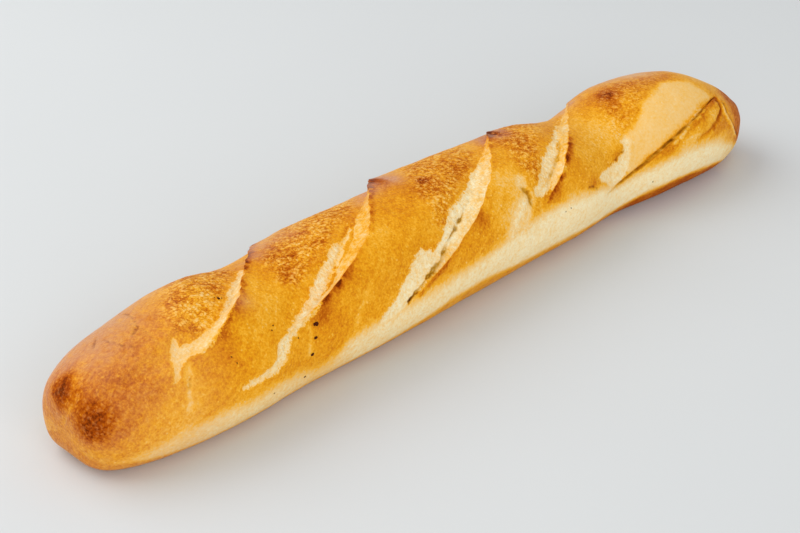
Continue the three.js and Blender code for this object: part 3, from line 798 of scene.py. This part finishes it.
    # mixes in the rosy colour of the painted sheen and the painted shade inside cracks and creases
    for name, source, amount in (("blisterTops", veins, -0.5), ("paintedSheen", field["paintedSheen"], 0.55),
                                 ("crack", field["paintedShade"], 0.85)):
        share = add(tree, "ShaderNodeMath", {0: source, 1: amount}, operation="MULTIPLY", use_clamp=True)
        color = add(tree, "ShaderNodeMix", {0: share, 6: color, 7: linearColor(crustLook[name])}, out=2,
                    data_type="RGBA")

    relief = speck
    for source, amount in ((grains["fine"], 0.3), (grains["mottle"], 0.35), (veins, -0.5), (crumbs, -0.6)):
        relief = add(tree, "ShaderNodeMath", {0: source, 1: amount, 2: relief}, operation="MULTIPLY_ADD")
    strength = add(tree, "ShaderNodeMath", {0: lively, 1: 0.6}, operation="MULTIPLY")
    normal = add(tree, "ShaderNodeBump", {"Strength": strength, "Distance": crustLook["relief"] * mm,
                                          "Height": relief})
    roughness = add(tree, "ShaderNodeMapRange", {"Value": field["pale"], "To Min": 0.42, "To Max": 0.7})
    # dark crust hardly shines
    gloss = add(tree, "ShaderNodeMapRange", {"Value": bake, "From Min": 0.5, "From Max": 0.75,
                                             "To Min": 0.15, "To Max": 0.02})
    # a little real sheen where the painted sheen is
    sheen = add(tree, "ShaderNodeMath", {0: field["paintedSheen"], 1: 0.25}, operation="MULTIPLY")
    shader = add(tree, "ShaderNodeBsdfPrincipled", {
        "Base Color": color, "Roughness": roughness, "Normal": normal, "IOR": crustLook["ior"],
        "Specular IOR Level": gloss, "Sheen Weight": sheen, "Sheen Roughness": 0.45})
    add(tree, "ShaderNodeOutputMaterial", {"Surface": shader})
    return material


# Charred flecks, as (along, girth, size)
flecks = {
    "places": [(116.5, 40.5, 2.5), (114, 47, 1.9), (111, 54.5, 1.9), (82.5, 6, 1.8), (81.2, 4.6, 1.3),
               (83.9, 6.6, 1.2), (117.1, 41.1, 1.7), (67.3, 37, 0.8), (68.5, 40.5, 0.8), (95, 32.3, 0.9),
               (93, 34.2, 0.8), (104.5, 43, 0.8), (107, 66.5, 1.2), (86.5, 65, 0.8), (290, 51, 0.8),
               (286, 51.5, 0.7), (358, 61, 0.8), (172, 53.8, 1)],
    "narrow": 0.65,  # width over length
    "height": 0.4,  # over their length
    "roughness": 1.3,
    "seed": 5,
    "colors": ("#30110a", "#622a10"),
    "grain": 0.5,
}


# Charred flecks: nearly black, matt
def charredFleck():
    material, tree = newMaterial("charredFleck")
    where = add(tree, "ShaderNodeTexCoord", out="Object")
    grain = add(tree, "ShaderNodeTexNoise", {"Vector": where, "Scale": 1 / (flecks["grain"] * mm),
                                             "Detail": 2.0})
    darker, lighter = (linearColor(code) for code in flecks["colors"])
    color = add(tree, "ShaderNodeMix", {0: grain, 6: darker, 7: lighter}, out=2, data_type="RGBA")
    shader = add(tree, "ShaderNodeBsdfPrincipled", {"Base Color": color, "Roughness": 0.8,
                                                    "Specular IOR Level": 0.05})
    add(tree, "ShaderNodeOutputMaterial", {"Surface": shader})
    return material


# Matt paper sweep under the loaf, in metres
floorPlan = {"reach": 6, "colors": ("#d2d4d4", "#d6d8d8")}


def paperSweep():
    material, tree = newMaterial("paperSweep")
    where = add(tree, "ShaderNodeTexCoord", out="Object")
    grain = add(tree, "ShaderNodeTexNoise", {"Vector": where, "Scale": 4.0, "Detail": 2.0})
    darker, lighter = (linearColor(code) for code in floorPlan["colors"])
    color = add(tree, "ShaderNodeMix", {0: grain, 6: darker, 7: lighter}, out=2, data_type="RGBA")
    shader = add(tree, "ShaderNodeBsdfPrincipled", {"Base Color": color, "Roughness": 0.7,
                                                    "Specular IOR Level": 0.2})
    add(tree, "ShaderNodeOutputMaterial", {"Surface": shader})
    return material


# Turns a geometry node modifier's result into the piece's own mesh
def applyTree(piece, tree, values):
    modifier = piece.modifiers.new(tree.name, "NODES")
    modifier.node_group = tree
    for item in tree.interface.items_tree:
        if item.in_out == "INPUT" and item.name in values:
            modifier[item.identifier] = values[item.name]
    evaluated = piece.evaluated_get(bpy.context.evaluated_depsgraph_get())
    mesh = bpy.data.meshes.new_from_object(evaluated)
    piece.modifiers.remove(modifier)
    piece.data = mesh


def newTree(name, inputs):
    tree = bpy.data.node_groups.new(name, "GeometryNodeTree")
    tree.interface.new_socket("Geometry", in_out="INPUT", socket_type="NodeSocketGeometry")
    for label, kind in inputs:
        tree.interface.new_socket(label, in_out="INPUT", socket_type=kind)
    tree.interface.new_socket("Geometry", in_out="OUTPUT", socket_type="NodeSocketGeometry")
    return tree, tree.nodes.new("NodeGroupInput").outputs


def endTree(tree, geometry, material):
    geometry = add(tree, "GeometryNodeRealizeInstances", {"Geometry": geometry})
    geometry = add(tree, "GeometryNodeSetMaterial", {"Geometry": geometry, "Material": material})
    add(tree, "NodeGroupOutput", {"Geometry": geometry})


# Raises fine blisters where the crust's "blister" attribute says
def blisterTree():
    tree, given = newTree("crustBlisters", [("Size", "NodeSocketFloat"), ("Height", "NodeSocketFloat"),
                                            ("Material", "NodeSocketMaterial")])
    here = add(tree, "GeometryNodeInputPosition")
    scale = add(tree, "ShaderNodeMath", {0: 1.0, 1: given["Size"]}, operation="DIVIDE")
    bumps = blisterPattern(tree, here, scale)
    where = add(tree, "GeometryNodeInputNamedAttribute", {"Name": "blister"}, out="Attribute",
                data_type="FLOAT")
    amount = add(tree, "ShaderNodeMath", {0: bumps, 1: where}, operation="MULTIPLY")
    amount = add(tree, "ShaderNodeMath", {0: amount, 1: given["Height"]}, operation="MULTIPLY")
    normal = add(tree, "GeometryNodeInputNormal")
    offset = add(tree, "ShaderNodeVectorMath", {0: normal, "Scale": amount}, operation="SCALE")
    geometry = add(tree, "GeometryNodeSetPosition", {"Geometry": given["Geometry"], "Offset": offset})
    endTree(tree, geometry, given["Material"])
    return tree


# Puts a charred fleck of each point's "size" on it, lying in the crust
def fleckTree():
    tree, given = newTree("charredFlecks", [
        ("Narrow", "NodeSocketFloat"), ("Height", "NodeSocketFloat"), ("Roughness", "NodeSocketFloat"),
        ("Seed", "NodeSocketInt"), ("Material", "NodeSocketMaterial")])
    lump = add(tree, "GeometryNodeMeshIcoSphere", {"Radius": 0.5, "Subdivisions": 3}, out="Mesh")
    here = add(tree, "GeometryNodeInputPosition")
    bumps = add(tree, "ShaderNodeTexNoise", {"Vector": here, "Scale": 3.0, "Detail": 2.0,
                                             "W": given["Seed"]}, out="Color", noise_dimensions="4D")
    centred = add(tree, "ShaderNodeVectorMath", {0: bumps, 1: (-0.5, -0.5, -0.5)}, operation="ADD")
    offset = add(tree, "ShaderNodeVectorMath", {0: centred, "Scale": given["Roughness"]}, operation="SCALE")
    lump = add(tree, "GeometryNodeSetPosition", {"Geometry": lump, "Offset": offset})
    outward = add(tree, "GeometryNodeInputNamedAttribute", {"Name": "outward"}, out="Attribute",
                  data_type="FLOAT_VECTOR")
    turn = add(tree, "FunctionNodeAlignRotationToVector", {"Vector": outward}, axis="Z")
    spin = add(tree, "FunctionNodeRandomValue", {"Min": 0.0, "Max": 6.3, "Seed": given["Seed"]},
               out="Value", data_type="FLOAT")
    spin = add(tree, "ShaderNodeCombineXYZ", {2: spin})
    spin = add(tree, "FunctionNodeEulerToRotation", {0: spin})
    turn = add(tree, "FunctionNodeRotateRotation", {"Rotation": turn, "Rotate By": spin},
               rotation_space="LOCAL")
    size = add(tree, "GeometryNodeInputNamedAttribute", {"Name": "size"}, out="Attribute",
               data_type="FLOAT")
    flat = add(tree, "ShaderNodeMath", {0: size, 1: given["Height"]}, operation="MULTIPLY")
    narrow = add(tree, "ShaderNodeMath", {0: size, 1: given["Narrow"]}, operation="MULTIPLY")
    scale = add(tree, "ShaderNodeCombineXYZ", {0: size, 1: narrow, 2: flat})
    lumps = add(tree, "GeometryNodeInstanceOnPoints", {"Points": given["Geometry"], "Instance": lump,
                                                       "Rotation": turn, "Scale": scale})
    endTree(tree, lumps, given["Material"])
    return tree


def newPiece(name, mesh):
    piece = bpy.data.objects.new(name, mesh)
    bpy.context.scene.collection.objects.link(piece)
    return piece


print("loaf crust")
crust = bakedCrust()
crustMesh, offset = loafMesh()
loafPiece = newPiece("loafCrust", crustMesh)
applyTree(loafPiece, blisterTree(), {"Size": blisterPlan["size"] * mm, "Height": blisterPlan["height"] * mm,
                                     "Material": crust})
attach(loafPiece, "root")
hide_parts("loaf")

print("charred flecks")
s, g, fleckSizes = (np.array(values, float) for values in zip(*flecks["places"]))
fleckPlaces, _ = crustForm(s, g)
_, _, fleckOutward = smoothDirections(s, g)
points = bpy.data.meshes.new("charredFlecks")
points.from_pydata((fleckPlaces * mm + offset).tolist(), [], [])
for name, kind, key, values in (("size", "FLOAT", "value", fleckSizes * mm),
                                ("outward", "FLOAT_VECTOR", "vector", fleckOutward)):
    attribute = points.attributes.new(name, kind, "POINT")
    attribute.data.foreach_set(key, values.ravel().astype(np.float32))
fleckPiece = newPiece("charredFlecks", points)
applyTree(fleckPiece, fleckTree(), {"Narrow": flecks["narrow"], "Height": flecks["height"],
                                    "Roughness": flecks["roughness"], "Seed": flecks["seed"],
                                    "Material": charredFleck()})
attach(fleckPiece, "root")

print("floor, lights and camera")
floorMesh = bpy.data.meshes.new("floor")
reach = floorPlan["reach"]
corners = [(-reach, -reach, 0), (reach, -reach, 0), (reach, reach, 0), (-reach, reach, 0)]
floorMesh.from_pydata(corners, [], [(0, 1, 2, 3)])
floor = newPiece("floor", floorMesh)
floor.data.materials.append(paperSweep())

# Angles in degrees, distances in millimetres; "aim" is how far right and up of the middle the camera points
view = {"turn": -45.47, "rise": 30, "roll": -0.18, "distance": 932.5, "height": 25, "aim": (-16.2, -15.6),
        "lens": 83.85, "sensor": 36, "reach": 50000}


def aimCamera():
    camera = bpy.data.objects.new("camera", bpy.data.cameras.new("camera"))
    bpy.context.scene.collection.objects.link(camera)
    turn, rise = math.radians(view["turn"]), math.radians(view["rise"])
    back = Vector((math.sin(turn) * math.cos(rise), -math.cos(turn) * math.cos(rise), math.sin(rise)))
    right = Vector((math.cos(turn), math.sin(turn), 0))
    up = back.cross(right)
    middle = Vector((0, 0, view["height"]))
    place = middle + back * view["distance"]
    facing = (place - middle - right * view["aim"][0] - up * view["aim"][1]).normalized()
    side = Vector((0, 0, 1)).cross(facing).normalized()
    turned = Matrix((side, facing.cross(side), facing)).transposed().to_4x4()
    roll = Matrix.Rotation(math.radians(view["roll"]), 4, "Z")
    camera.matrix_world = Matrix.Translation(place * mm) @ turned @ roll
    camera.data.lens, camera.data.sensor_width = view["lens"], view["sensor"]
    camera.data.clip_end = view["reach"] * mm
    bpy.context.scene.camera = camera


# Places and sizes in metres, power in watts
lamps = {
    "backSoftbox": {"place": (-0.6, 1.0, 1.15), "size": (1.8, 1.4), "power": 18},
    "frontSoftbox": {"place": (-0.9, -1.7, 0.9), "size": (2.2, 1.2), "power": 23},
}
ambient = {"color": "#f6f8fa", "strength": 0.6}


def addLamps():
    for name, lamp in lamps.items():
        data = bpy.data.lights.new(name, "AREA")
        data.shape = "RECTANGLE"
        data.size, data.size_y = lamp["size"]
        data.energy = lamp["power"]
        piece = newPiece(name, data)
        piece.location = lamp["place"]
        piece.rotation_euler = (-Vector(lamp["place"])).to_track_quat("-Z", "Y").to_euler()
    world = bpy.data.worlds.new("studio")
    bpy.context.scene.world = world
    world.use_nodes = True
    background = world.node_tree.nodes["Background"]
    background.inputs["Color"].default_value = linearColor(ambient["color"])
    background.inputs["Strength"].default_value = ambient["strength"]


aimCamera()
addLamps()
bpy.context.scene.view_settings.view_transform = "Standard"
